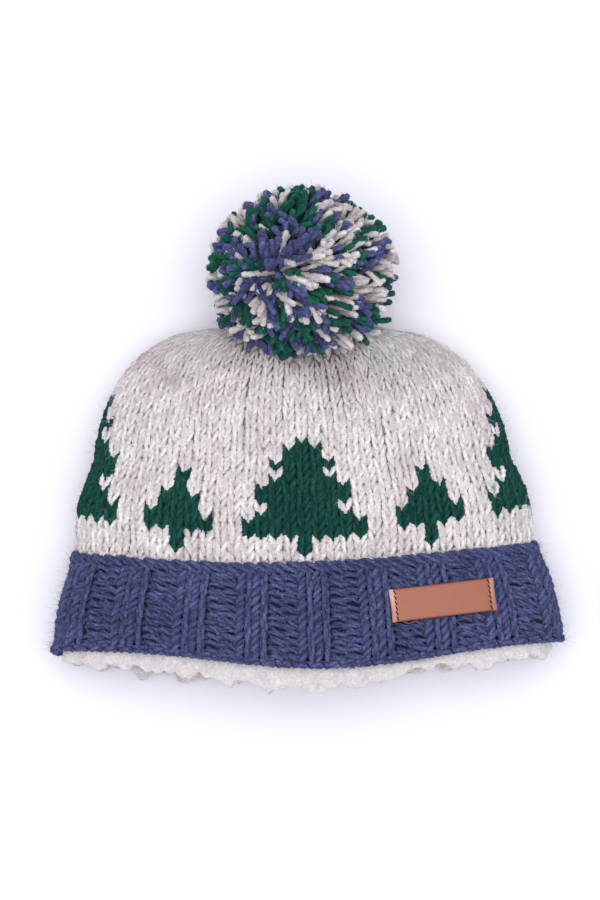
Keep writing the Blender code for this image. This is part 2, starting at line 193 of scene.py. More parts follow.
@dataclass(frozen=True)
class HatForm:
    """The sizes and the shape that all the pieces lie on."""

    crown_width: float = 223 * MM
    crown_length: float = 109 * MM
    crown_height: float = 47 * MM
    crown_wall: float = 4.2 * MM
    tip_height: float = 16 * MM
    tip_opening: float = 0.03
    outline_reach: float = 2.3
    outline_round: float = 4.4
    dome_reach: float = 2.6
    dome_round: float = 2.2
    tip_lift: float = 16
    tip_press: float = 1.0 * MM
    front_fullness: float = 2.5
    back_fullness: float = 3.4
    fold_share: float = 0.43
    back_sink: float = 1.6 * MM
    pleats: int = 12
    pleat_depth: float = 2.6 * MM
    pleat_centre: float = 0.86
    pleat_spread: float = 0.11
    gather_fade: float = 0.15
    tip_fade: float = 0.04
    rim_width: float = 247.5 * MM
    rim_height: float = 52 * MM
    rim_flare: float = 1.9
    band_depth: float = 48.5 * MM
    band_wall: float = 5.4 * MM
    ridge_step: float = 2.8 * MM
    ridge_spread: float = 1.0 * MM
    rim_skew: float = 2.4 * MM
    lean: float = 4.5 * MM
    lining_depth: float = 74 * MM
    front_bow: Bow = Bow(12.0 * MM, 9.3 * MM, 3.0, 1.0)
    back_bow: Bow = Bow(9.0 * MM, 8.0 * MM, 1.0, 1.0)
    bow_turn: float = 0.0
    dents: tuple[Dent, ...] = (
        Dent(0.040, 0.78, 0.030, 0.14, 0.075),
        Dent(0.095, 0.55, 0.035, 0.16, 0.050),
        Dent(-0.075, 0.70, 0.035, 0.15, 0.045),
        Dent(-0.160, 0.45, 0.030, 0.16, 0.035),
    )
    side_waves: tuple[tuple[float, float], ...] = (
        (0.00, 1.000),
        (0.20, 0.996),
        (0.30, 0.971),
        (0.40, 0.942),
        (0.57, 0.950),
        (0.75, 0.948),
        (0.93, 0.950),
        (1.00, 1.000),
    )

    def crown_section(self, rise: np.ndarray, inset: float) -> tuple[np.ndarray, ...]:
        """Half width, top, bottom and distance along the hat of the crown, drawn in by inset."""
        rise = np.asarray(rise, float)
        waves = np.interp(rise, *zip(*self.side_waves))
        outline = (1 - rise**self.outline_reach) ** (1 / self.outline_round)
        dome = (1 - rise**self.dome_reach) ** (1 / self.dome_round)
        half_width = (self.crown_width / 2 - inset) * waves * outline
        top = self.tip_height + (self.crown_height - inset - self.tip_height) * dome
        lifted = (self.tip_height - inset + self.tip_press) * rise**self.tip_lift
        bottom = inset + np.maximum(lifted - self.tip_press, 0.0)
        return half_width, top, bottom, self.band_depth + (self.crown_length - inset) * rise

    def band_section(self, rise: np.ndarray, inset: float) -> tuple[np.ndarray, ...]:
        """The same four lengths of the band's outside."""
        rise = np.asarray(rise, float)
        flare = 1 - np.clip(rise, 0, 1) ** self.rim_flare
        ridge_half = self.crown_width / 2 + self.ridge_spread
        ridge_top = self.crown_height + self.ridge_step
        half_width = ridge_half + (self.rim_width / 2 - ridge_half) * flare - inset
        top = ridge_top + (self.rim_height - ridge_top) * flare - inset
        return half_width, top, inset + 0 * rise, self.band_depth * rise

    def band_inside(self, rise: np.ndarray, clear: float) -> tuple[np.ndarray, ...]:
        """The same four lengths of the band's inside, which meets the crown's inside at the ridge."""
        own = self.band_section(rise, self.band_wall + clear)
        ridge = self.crown_section(0.0, self.crown_wall + clear)
        share = smooth(np.asarray(rise, float))
        return (*(a + (b - a) * share for a, b in zip(own[:3], ridge[:3])), own[3])

    def section_ring(self, half_width: float, top: float, bottom: float, turns: np.ndarray):
        """Points (x, z) round one section."""
        fold = bottom + self.fold_share * (top - bottom)
        angle = np.linspace(math.pi / 2, -3 * math.pi / 2, 361)
        c, s = np.cos(angle), np.sin(angle)
        power = np.where(s >= 0, 2 / self.front_fullness, 2 / self.back_fullness)
        sink = min(self.back_sink, fold - bottom)
        x = half_width * np.sign(c) * np.abs(c) ** power
        up = fold + (top - fold) * np.abs(s) ** power
        down = np.maximum(fold - (fold - bottom + sink) * np.abs(s) ** power, bottom)
        z = np.where(s >= 0, up, down)
        length = np.concatenate([[0], np.cumsum(np.hypot(np.diff(x), np.diff(z)))])
        length /= max(length[-1], 1e-9)
        turns = np.mod(turns, 1.0)
        return np.interp(turns, length, x), np.interp(turns, length, z)

    def rim_drop(self, turns: np.ndarray, along: float) -> np.ndarray:
        """How far the knitting lies from a straight cut, along Y."""
        rise = np.clip(along / self.band_depth, 0, 1)
        facing = np.cos(2 * math.pi * (turns - self.bow_turn * (1 - rise)))
        drop = -self.rim_skew * np.sin(2 * math.pi * turns)
        for bow, side in ((self.front_bow, facing), (self.back_bow, -facing)):
            power = bow.rim_power + (bow.ridge_power - bow.rim_power) * rise
            drop = drop + (bow.rim + (bow.ridge - bow.rim) * rise) * np.maximum(side, 0) ** power
        return -drop * np.clip(1 - (along - self.band_depth) / self.crown_length, 0, 1) ** 1.5

    def rings(self, sections: tuple[np.ndarray, ...], turns: np.ndarray) -> np.ndarray:
        """Grid of points, one ring for each section."""
        grid = np.zeros((len(sections[0]), len(turns), 3))
        for i, (half_width, top, bottom, along) in enumerate(zip(*sections)):
            x, z = self.section_ring(half_width, top, bottom, turns)
            lean = self.lean * along / (self.band_depth + self.crown_length)
            grid[i] = np.stack([x - lean, along + self.rim_drop(turns, along), z], axis=1)
        return grid

    def crown_grid(self, inset: float, turns: np.ndarray, shares: np.ndarray) -> np.ndarray:
        """The crown's surface, with rings at shares of each column's own length from the ridge to the tip."""
        rise = 1 - (1 - np.linspace(0, 1, 90)) ** 2.4
        grid = self.rings(self.crown_section(rise, inset), turns)
        steps = np.linalg.norm(np.diff(grid, axis=0), axis=2)
        length = np.vstack([np.zeros(grid.shape[1]), np.cumsum(steps, axis=0)])
        out = np.zeros((len(shares), grid.shape[1], 3))
        for j in range(grid.shape[1]):
            for k in range(3):
                out[:, j, k] = np.interp(shares * length[-1, j], length[:, j], grid[:, j, k])
        out -= outward(out) * self.gather_depth(turns, shares)[:, :, None]
        out[:, :, 2] = np.maximum(out[:, :, 2], 0.0)
        return out

    def gather_depth(self, turns: np.ndarray, shares: np.ndarray) -> np.ndarray:
        """How far the gathers and dents draw the crown in, for each ring and column."""
        fold = np.abs(np.sin(math.pi * self.pleats * turns)) ** 0.8
        rise = np.exp(-(((shares - self.pleat_centre) / self.pleat_spread) ** 2))
        depth = self.pleat_depth * np.outer(rise, 1 - fold)
        for dent in self.dents:
            apart = np.mod(turns - dent.turn + 0.5, 1.0) - 0.5
            across = np.exp(-((apart / dent.turn_spread) ** 2))
            up = np.exp(-(((shares - dent.rise) / dent.rise_spread) ** 2))
            depth += dent.depth * self.crown_height * np.outer(up, across)
        lined = (self.lining_depth - self.band_depth) / self.crown_length
        free = smooth((shares - lined) / self.gather_fade) * smooth((1 - shares) / self.tip_fade)
        return depth * free[:, None]


class Skin:
    """A sleeve of points that yarn is laid on, read between its points."""

    def __init__(self, grid: np.ndarray, shift: np.ndarray) -> None:
        """Takes a grid of rings, the first at rise 0 and the last at rise 1, and moves it by shift."""
        self.grid = grid + shift
        self.normal = outward(self.grid)

    def read(self, values: np.ndarray, turn: np.ndarray, rise: np.ndarray) -> np.ndarray:
        """Values of the grid between its points."""
        rows, columns = values.shape[:2]
        x = np.mod(turn, 1.0) * columns
        y = np.clip(rise, 0, 1) * (rows - 1)
        j, i = np.floor(x).astype(int) % columns, np.minimum(np.floor(y).astype(int), rows - 2)
        fx, fy = (x - np.floor(x))[..., None], (y - i)[..., None]
        k = (j + 1) % columns
        low = values[i, j] * (1 - fx) + values[i, k] * fx
        high = values[i + 1, j] * (1 - fx) + values[i + 1, k] * fx
        return low * (1 - fy) + high * fy

    def place(self, turn: np.ndarray, rise: np.ndarray, lift: np.ndarray) -> np.ndarray:
        """Points at a lift above the surface. Past either end the surface goes on straight."""
        rise = np.asarray(rise, float)
        points = self.read(self.grid, turn, rise)
        over = (rise - np.clip(rise, 0, 1))[..., None]
        near = np.clip(rise, 0, 1)
        step = 0.02
        slope = self.read(self.grid, turn, np.minimum(near + step, 1)) - self.read(
            self.grid, turn, np.maximum(near - step, 0)
        )
        span = np.minimum(near + step, 1) - np.maximum(near - step, 0)
        points = points + over * slope / span[..., None]
        return points + self.read(self.normal, turn, rise) * np.asarray(lift)[..., None]

    def wale_width(self, rise: float) -> float:
        """Mean distance between columns of stitches at a rise."""
        turns = turns_of(2 * WALES)
        ring = self.read(self.grid, turns, np.full(len(turns), rise))
        return float(np.linalg.norm(np.roll(ring, -1, axis=0) - ring, axis=1).sum() / WALES)

    def tree(self) -> BVHTree:
        """The surface as a tree to cast rays at."""
        rows, columns = self.grid.shape[:2]
        faces = [
            (i * columns + j, i * columns + (j + 1) % columns,
             (i + 1) * columns + (j + 1) % columns, (i + 1) * columns + j)
            for i in range(rows - 1)
            for j in range(columns)
        ]
        return BVHTree.FromPolygons([Vector(p) for p in self.grid.reshape(-1, 3)], faces)


# Finishes


@dataclass(frozen=True)
class WoolFinish:
    """Plied wool: heathered fibres, with painted shade in the grooves between the plies and along their seams,
    and a dull bloom of fibre.
    """

    base: str
    light: str
    dark: str
    patch: str
    slot: str
    # groove, root, tip and ply_depth set painted shade and light: in the grooves and on a wall's outer face, at
    # a strand's root and end, and along the ply seams
    groove: float = 0.45
    heather: float = 0.5
    sheen: float = 0.25
    root: float = 1.0
    tip: float = 1.0
    plies: float = 170.0  # windings a metre
    ply_depth: float = 0.22

    def build(self, name: str) -> bpy.types.Material:
        """The material. Its yarn carries a tone, which holds painted shade on the crown, and groove, ring, along
        and end.
        """
        material, tree, shader = blank(name, {
            "Roughness": 0.93, "Specular IOR Level": 0.12, "Sheen Weight": self.sheen, "Sheen Roughness": 0.5,
            "Sheen Tint": linear(self.light),
        })
        place = add_node(tree, "ShaderNodeTexCoord").outputs["Object"]
        tone, groove, along, end = (carried(tree, key) for key in ("tone", "groove", "along", "end"))
        # the plies wind round the yarn, so a strand looks beaded from any side: their seams are sunk in relief
        # and darkened with painted shade
        ring = add_node(tree, "ShaderNodeSeparateXYZ", {0: carried(tree, "ring", "Vector")}).outputs
        angle = maths(tree, "ARCTAN2", ring["Y"], ring["X"])
        wound = maths(tree, "MULTIPLY", along, 2 * math.pi * self.plies)
        ply = maths(tree, "COSINE", maths(tree, "MULTIPLY_ADD", angle, 2.0, wound))
        # fibres run along the yarn, so their streaks are long one way and short the other
        streaks = enumerate(((along, 420.0), (groove, 1.6), (tone, 57.0)))
        stretched = add_node(tree, "ShaderNodeCombineXYZ", {
            i: maths(tree, "MULTIPLY", value, scale) for i, (value, scale) in streaks
        })
        fibres = mottled(tree, stretched.outputs[0], 1.0, 4.0, Roughness=0.7)
        fine = mottled(tree, place, 1500.0, 3.0, Roughness=0.65)
        # wide soft patches where the dye took differently
        patches = ranged(tree, mottled(tree, place, 38.0, 2.0), (0.42, 0.68), (0.0, 0.85))
        dyed = mixed(tree, patches, linear(self.base), linear(self.patch))
        heather = (0.0, self.heather)
        lit = mixed(tree, ranged(tree, fibres, (0.55, 0.80), heather), dyed, linear(self.light))
        deep = mixed(tree, ranged(tree, fine, (0.56, 0.34), heather), lit, linear(self.dark))
        # painted shade and light, multiplied together: the strand's tone, which holds painted shade on the
        # crown; painted shade in the grooves between the plies and on a wall's outer face; painted shade at a
        # cut strand's root, deep in the ball, and lighter paint at its end where light falls; and painted shade
        # along the ply seams
        shade, *others = (
            ranged(tree, tone, new=(0.86, 1.10), clamp=False),
            ranged(tree, groove, (-1.0, 0.4), (1.0 - self.groove, 1.0)),
            ranged(tree, end, (0.5, 1.0), (self.root, self.tip)),
            ranged(tree, ply, (-1.0, 0.0), (1.0 - self.ply_depth, 1.0)),
        )
        for other in others:
            shade = maths(tree, "MULTIPLY", shade, other)
        colour = add_node(tree, "ShaderNodeVectorMath", {"operation": "SCALE", 0: deep, 3: shade}).outputs[0]
        swell = raised(tree, ply, 0.8, 0.16 * MM)
        relief = raised(tree, maths(tree, "ADD", fibres, fine), 0.55, 0.35 * MM, Normal=swell)
        feed(tree, shader, {"Base Color": colour, "Normal": relief})
        return material


OATMEAL = WoolFinish("#f0ecea", "#fbf8f5", "#968c86", "#e2d5d9", "oatmeal_wool", groove=0.24, ply_depth=0.10)
GREEN = WoolFinish("#1d5247", "#45876f", "#0a2b22", "#164a49", "oatmeal_wool", groove=0.5)
BLUE = WoolFinish("#5d6494", "#a3a7ca", "#1f2444", "#4b5280", "blue_wool", groove=0.62, heather=0.8)
# darker copies of the wool for the walls behind the stitches: painted shade between and behind the stitches
SHADED_OATMEAL_WALL = WoolFinish("#d8d0ce", "#e8e2e0", "#8f8682", "#cdc5cc", "oatmeal_wool", groove=0.62)
SHADED_BLUE_WALL = WoolFinish("#454c7f", "#7279ab", "#1d2144", "#3d4277", "blue_wool", groove=0.75)


@dataclass(frozen=True)
class FleeceFinish:
    """Brushed white fleece: a low pile of fine curls without a weave."""

    base: str = "#dedad9"
    shadow: str = "#bbb6b5"
    slot: str = "white_fleece"

    def build(self, name: str) -> bpy.types.Material:
        """The material."""
        material, tree, shader = blank(name, {
            "Roughness": 0.96, "Specular IOR Level": 0.1, "Sheen Weight": 0.4, "Sheen Roughness": 0.6,
        })
        place = add_node(tree, "ShaderNodeTexCoord").outputs["Object"]
        curls = mottled(tree, place, 650.0, 5.0, Roughness=0.7, Distortion=1.2)
        clumps = mottled(tree, place, 170.0, 3.0)
        colour = mixed(tree, ranged(tree, curls, (0.35, 0.65)), linear(self.shadow), linear(self.base))
        relief = raised(tree, maths(tree, "ADD", curls, clumps), 0.5, 0.8 * MM)
        feed(tree, shader, {"Base Color": colour, "Normal": relief})
        return material


@dataclass(frozen=True)
class LeatherFinish:
    """Smooth tan leather with a fine grain, paler where the folded ends are worn, with dyed edges that are
    darkened further by painted shade, and painted shade in the seam creases.
    """

    base: str = "#a06049"
    worn: str = "#cc9c8a"
    deep: str = "#8e533d"
    # the dyed edge, darkened further as painted shade along the strip's sides
    edge: str = "#5f2f22"
    slot: str = "tan_leather"

    def build(self, name: str) -> bpy.types.Material:
        """The material. The strip carries its wear and painted shade: 1 at its worn ends, below 0 in the seam
        creases and round the rim of its top, and -1 on its dyed edges, whose colour also paints the shade along
        them.
        """
        material, tree, shader = blank(name, {})
        place = add_node(tree, "ShaderNodeTexCoord").outputs["Object"]
        wear_and_shade = carried(tree, "wear_and_shade")
        clouds = mottled(tree, place, 160.0, 4.0)
        grain = add_node(tree, "ShaderNodeTexVoronoi", {"Scale": 1900.0, "Vector": place}).outputs["Distance"]
        tanned = mixed(tree, clouds, linear(self.deep), linear(self.base))
        worn = mixed(tree, wear_and_shade, tanned, linear(self.worn))
        feed(tree, shader, {
            # below 0 the colour goes to the edge colour: painted shade in the seam creases and round the top's
            # rim, on top of the dyed edges
            "Base Color": mixed(tree, ranged(tree, wear_and_shade, (0.0, -1.0)), worn, linear(self.edge)),
            "Normal": raised(tree, grain, 0.25, 0.12 * MM),
            "Roughness": ranged(tree, clouds, new=(0.42, 0.62)),
        })
        return material


# Yarn


@dataclass
class Strands:
    """Paths of yarn with the same number of points each, and how they are dressed."""

    points: np.ndarray  # strands × points × 3
    thick: np.ndarray  # strands × points, as a share of the yarn's radius
    tone: np.ndarray  # strands

    def only(self, chosen: np.ndarray) -> "Strands":
        """The strands that are chosen."""
        return Strands(self.points[chosen], self.thick[chosen], self.tone[chosen])


def new_group(name: str, inputs: dict[str, str]) -> tuple[bpy.types.NodeTree, bpy.types.NodeOutputs]:
    """An empty node group and its named inputs, which are given by the kind of their sockets."""
    tree = bpy.data.node_groups.new(name, "GeometryNodeTree")
    for socket, kind in {"Geometry": "Geometry", **inputs, "Material": "Material"}.items():
        tree.interface.new_socket(socket, in_out="INPUT", socket_type=f"NodeSocket{kind}")
    tree.interface.new_socket("Geometry", in_out="OUTPUT", socket_type="NodeSocketGeometry")
    return tree, add_node(tree, "NodeGroupInput").outputs


def sized_paths(tree, given, radius: str) -> tuple[bpy.types.NodeSocket, bpy.types.NodeSocket]:
    """The paths as curves, each point as thick as it says, and that thickness."""
    thick = add_node(tree, "GeometryNodeInputNamedAttribute", {"data_type": "FLOAT", "Name": "thick"})
    width = maths(tree, "MULTIPLY", given[radius], thick.outputs["Attribute"])
    paths = add_node(tree, "GeometryNodeMeshToCurve", {"Mesh": given["Geometry"]}).outputs[0]
    return add_node(tree, "GeometryNodeSetCurveRadius", {"Curve": paths, "Radius": width}).outputs[0], width


def stored(tree, geometry, name: str, value, kind: str = "FLOAT") -> bpy.types.NodeSocket:
    """The geometry with a value kept on its points."""
    settings = {"data_type": kind, "domain": "POINT", "Name": name, "Geometry": geometry, "Value": value}
    return add_node(tree, "GeometryNodeStoreNamedAttribute", settings).outputs[0]


def swept(tree, width, settings: dict) -> bpy.types.NodeSocket:
    """A profile swept along curves at their own width."""
    tubes = add_node(tree, "GeometryNodeCurveToMesh", settings)
    if "Scale" in tubes.inputs:
        tree.links.new(width, tubes.inputs["Scale"])
    return tubes.outputs[0]


def close_group(tree, given, geometry) -> None:
    """Ends a group: what it grew is made real and gets its material."""
    real = add_node(tree, "GeometryNodeRealizeInstances", {"Geometry": geometry}).outputs[0]
    dressed = add_node(tree, "GeometryNodeSetMaterial", {"Geometry": real, "Material": given["Material"]})
    add_node(tree, "NodeGroupOutput", {"Geometry": dressed.outputs[0]})


@dataclass(frozen=True)
class Yarn:
    """A plied yarn: its radius, how round it is made, and how tightly its two plies twist."""

    radius: float
    sides: int = 8
    lobe: float = 0.16
    twist: float = 70.0  # turns a metre
    capped: bool = False

    def tree(self) -> bpy.types.NodeTree:
        """Node group that turns paths into twisted two-ply tubes."""
        name = "plied_yarn"
        if name in bpy.data.node_groups:
            return bpy.data.node_groups[name]
        tree, given = new_group(
            name, {"Radius": "Float", "Sides": "Int", "Lobe": "Float", "Twist": "Float", "Capped": "Bool"}
        )
        curves, width = sized_paths(tree, given, "Radius")
        tone = add_node(tree, "GeometryNodeInputNamedAttribute", {"data_type": "FLOAT", "Name": "tone"})
        spline = add_node(tree, "GeometryNodeSplineParameter").outputs
        turned = maths(tree, "MULTIPLY", spline["Length"], given["Twist"])
        started = maths(tree, "MULTIPLY_ADD", tone.outputs["Attribute"], 7.0, turned)
        tilt = maths(tree, "MULTIPLY", started, 2 * math.pi)
        tilted = add_node(tree, "GeometryNodeSetCurveTilt", {"Curve": curves, "Tilt": tilt}).outputs[0]
        measured = stored(tree, tilted, "along", spline["Length"])
        measured = stored(tree, measured, "end", spline["Factor"])
        # two plies show as two lobes, with a groove on either side
        circle = {"Radius": 1.0, "Resolution": given["Sides"]}
        ring = add_node(tree, "GeometryNodeCurvePrimitiveCircle", circle)
        place = add_node(tree, "GeometryNodeInputPosition").outputs[0]
        axes = add_node(tree, "ShaderNodeSeparateXYZ", {0: place}).outputs
        angle = maths(tree, "ARCTAN2", axes["Y"], axes["X"])
        wave = maths(tree, "COSINE", maths(tree, "MULTIPLY", angle, 2.0))
        grooved = stored(tree, ring.outputs[0], "groove", wave)
        ringed = stored(tree, grooved, "ring", place, "FLOAT_VECTOR")
        swell = maths(tree, "MULTIPLY_ADD", wave, given["Lobe"], 1.0)
        reach = add_node(tree, "ShaderNodeVectorMath", {"operation": "SCALE", 0: place, 3: swell}).outputs[0]
        profile = add_node(tree, "GeometryNodeSetPosition", {"Geometry": ringed, "Position": reach})
        tubes = swept(tree, width, {
            "Curve": measured, "Profile Curve": profile.outputs[0], "Fill Caps": given["Capped"],
        })
        close_group(tree, given, add_node(tree, "GeometryNodeSetShadeSmooth", {"Geometry": tubes}).outputs[0])
        return tree

    def spin(self, name: str, strands: Strands, material: bpy.types.Material, slot: str) -> bpy.types.Object:
        """Makes the strands into one piece of yarn tubes.

        Args:
            name: the piece's name.
            strands: the paths.
            material: the wool.
            slot: not used.
        Returns:
            The piece, a plain mesh that rides on the hat.
        """
        inputs = {
            "Radius": self.radius, "Sides": self.sides, "Lobe": self.lobe, "Twist": self.twist,
            "Capped": self.capped, "Material": material,
        }
        return grown(name, strands, self.tree(), inputs)


@dataclass(frozen=True)
class Fuzz:
    """Loose fibres that stand off the yarn: flat ribbons far thinner than a stitch."""

    width: float = 0.035 * MM
    length: float = 3.2 * MM

    def tree(self) -> bpy.types.NodeTree:
        """Node group that turns paths into ribbons."""
        name = "loose_fibre"
        if name in bpy.data.node_groups:
            return bpy.data.node_groups[name]
        tree, given = new_group(name, {"Half Width": "Float"})
        curves, width = sized_paths(tree, given, "Half Width")
        flat = add_node(tree, "GeometryNodeCurvePrimitiveLine", {"Start": (-1, 0, 0), "End": (1, 0, 0)})
        close_group(tree, given, swept(tree, width, {"Curve": curves, "Profile Curve": flat.outputs[0]}))
        return tree

    def spin(
        self, name: str, strands: Strands, radius: float, centre: np.ndarray, count: int,
        finish: WoolFinish, slot: str,
    ) -> bpy.types.Object:
        """Grows fibres on the yarn.

        Args:
            name: the piece's name.
            strands: the yarn that they stand on.
            radius: the yarn's.
            centre: the point that they lean away from.
            count: how many fibres.
            finish: their wool.
            slot: not used.
        Returns:
            The piece.
        """
        random = np.random.default_rng(SEED + 40 + count)
        material = replace(finish, root=1.0, tip=1.0, groove=0.0).build(f"{name}_wool")
        which = random.integers(0, len(strands.points), count)
        step = random.integers(1, strands.points.shape[1] - 1, count)
        root = strands.points[which, step]
        run = unit(strands.points[which, step + 1] - root)
        away = unit(root - centre + random.normal(0, 0.02, root.shape))
        side = unit(np.cross(run, away) * random.normal(0, 0.8, (count, 1)) + away)
        root = root + side * radius * 0.75
        lean = unit(side * 0.7 + run * random.normal(0, 0.8, (count, 1)) + random.normal(0, 0.35, root.shape))
        curl = unit(np.cross(lean, random.normal(0, 1, root.shape)))
        reach = self.length * random.gamma(3.0, 0.33, (count, 1)).clip(0.3, 2.2)
        share = np.linspace(0, 1, 4)
        paths = np.stack(
            [root + lean * reach * t + curl * reach * 0.35 * t**2 for t in share], axis=1
        )
        paths[..., 2] = np.maximum(paths[..., 2], 0.2 * MM)
        thick = np.tile(np.array([1.0, 0.9, 0.7, 0.3]), (count, 1))
        fibres = Strands(paths, thick, random.random(count))
        return grown(name, fibres, self.tree(), {"Half Width": self.width, "Material": material})


def grown(name: str, strands: Strands, tree: bpy.types.NodeTree, inputs: dict) -> bpy.types.Object:
    """Makes strands into a plain mesh through a node group.

    Args:
        name: the piece's name.
        strands: the paths.
        tree: the node group.
        inputs: its values by socket name.
    Returns:
        The piece, which rides on the hat.
    """
    count, length = strands.points.shape[:2]
    index = np.arange(count * length).reshape(count, length)
    edges = np.stack([index[:, :-1].ravel(), index[:, 1:].ravel()], axis=1)
    paths = bpy.data.meshes.new(name + "_paths")
    paths.from_pydata(strands.points.reshape(-1, 3).tolist(), edges.tolist(), [])
    for key, values in (("thick", strands.thick), ("tone", np.repeat(strands.tone, length))):
        attribute = paths.attributes.new(key, "FLOAT", "POINT")
        attribute.data.foreach_set("value", np.ravel(values).astype(np.float32))
    obj = bpy.data.objects.new(name, paths)
    bpy.context.scene.collection.objects.link(obj)
    modifier = obj.modifiers.new("grown", "NODES")
    modifier.node_group = tree
    for item in tree.interface.items_tree:
        if item.item_type == "SOCKET" and item.in_out == "INPUT" and item.name in inputs:
            modifier[item.identifier] = inputs[item.name]
    mesh = bpy.data.meshes.new_from_object(obj.evaluated_get(bpy.context.evaluated_depsgraph_get()))
    obj.modifiers.clear()
    obj.data = mesh
    mesh.name = name
    bpy.data.meshes.remove(paths)
    points = np.empty(len(mesh.vertices) * 3, np.float32)
    mesh.vertices.foreach_get("co", points)
    points = points.reshape(-1, 3)
    points[:, 2] = np.maximum(points[:, 2], 0.1 * MM)
    mesh.vertices.foreach_set("co", points.ravel())
    mesh.update()
    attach(obj, BODY)
    LOG.info("%s: %d strands, %d faces", name, count, len(mesh.polygons))
    return obj


def mesh_piece(
    name: str, builder: bmesh.types.BMesh, material: bpy.types.Material
) -> bpy.types.Object:
    """A smooth piece of a bmesh, with its faces out, that rides on the hat."""
    bmesh.ops.recalc_face_normals(builder, faces=builder.faces)
    mesh = bpy.data.meshes.new(name)
    builder.to_mesh(mesh)
    builder.free()
    mesh.shade_smooth()
    mesh.materials.append(material)
    obj = bpy.data.objects.new(name, mesh)
    bpy.context.scene.collection.objects.link(obj)
    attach(obj, BODY)
    LOG.info("%s: %d faces", name, len(mesh.polygons))
    return obj


def add_sleeve(builder: bmesh.types.BMesh, outside: np.ndarray, inside: np.ndarray, tip: bool) -> None:
    """Adds a wall between two grids: joined at the first rings, and at the last or closed there by tips."""
    walls = []
    groove = builder.verts.layers.float.new("groove")
    # groove is -1 on the outer face, which the wool darkens as painted shade between the stitches, and 1 on the
    # inner face
    for grid, depth in ((outside, -1.0), (inside, 1.0)):
        rows = [[builder.verts.new(p) for p in ring] for ring in grid]
        for vert in (v for ring in rows for v in ring):
            vert[groove] = depth
        for low, high in zip(rows, rows[1:]):
            join_rings(builder, low, high)
        if tip:
            end = builder.verts.new(grid[-1].mean(axis=0))
            for j, vert in enumerate(rows[-1]):
                builder.faces.new((vert, rows[-1][(j + 1) % len(rows[-1])], end))
        walls.append(rows)
    join_rings(builder, walls[0][0], walls[1][0])
    if not tip:
        join_rings(builder, walls[0][-1], walls[1][-1])


def join_rings(builder: bmesh.types.BMesh, low: list, high: list) -> None:
    """Quads between two closed rings."""
    for j in range(len(low)):
        k = (j + 1) % len(low)
        builder.faces.new((low[j], low[k], high[k], high[j]))


# Stitches

# A leg of a knitted V: across in wales from the middle of the V, up in rows, and its lift and thickness as
# shares of the yarn's radius
LEG = np.array([
    (0.03, -0.35, -1.30, 0.54),
    (0.105, 0.00, -0.40, 0.88),
    (0.20, 0.40, 0.05, 1.07),
    (0.285, 0.80, 0.12, 1.09),
    (0.355, 1.18, -0.10, 0.97),
    (0.41, 1.52, -0.95, 0.66),
])
# A purl bump: two bows of yarn, one above the other, half a wale apart
BUMP = np.array([
    (-0.62, -0.16, -1.1, 0.66),
    (-0.40, 0.02, -0.2, 0.92),
    (-0.15, 0.14, 0.2, 1.04),
    (0.12, 0.15, 0.2, 1.04),
    (0.38, 0.03, -0.2, 0.92),
    (0.60, -0.16, -1.1, 0.66),
])


class Motif(Enum):
    """Fir trees worked into the crown: half widths in stitches of each row, from the ground up."""

    TALL = (0, 0, 4, 4, 3, 2, 3, 3, 2, 1, 2, 1, 1, 0)
    SMALL = (0, 0, 2, 2, 1, 1, 0, 0)

    def covers(self, across: int, row: int) -> bool:
        """Whether the stitch is part of the tree."""
        return 0 <= row < len(self.value) and abs(across) <= self.value[row]


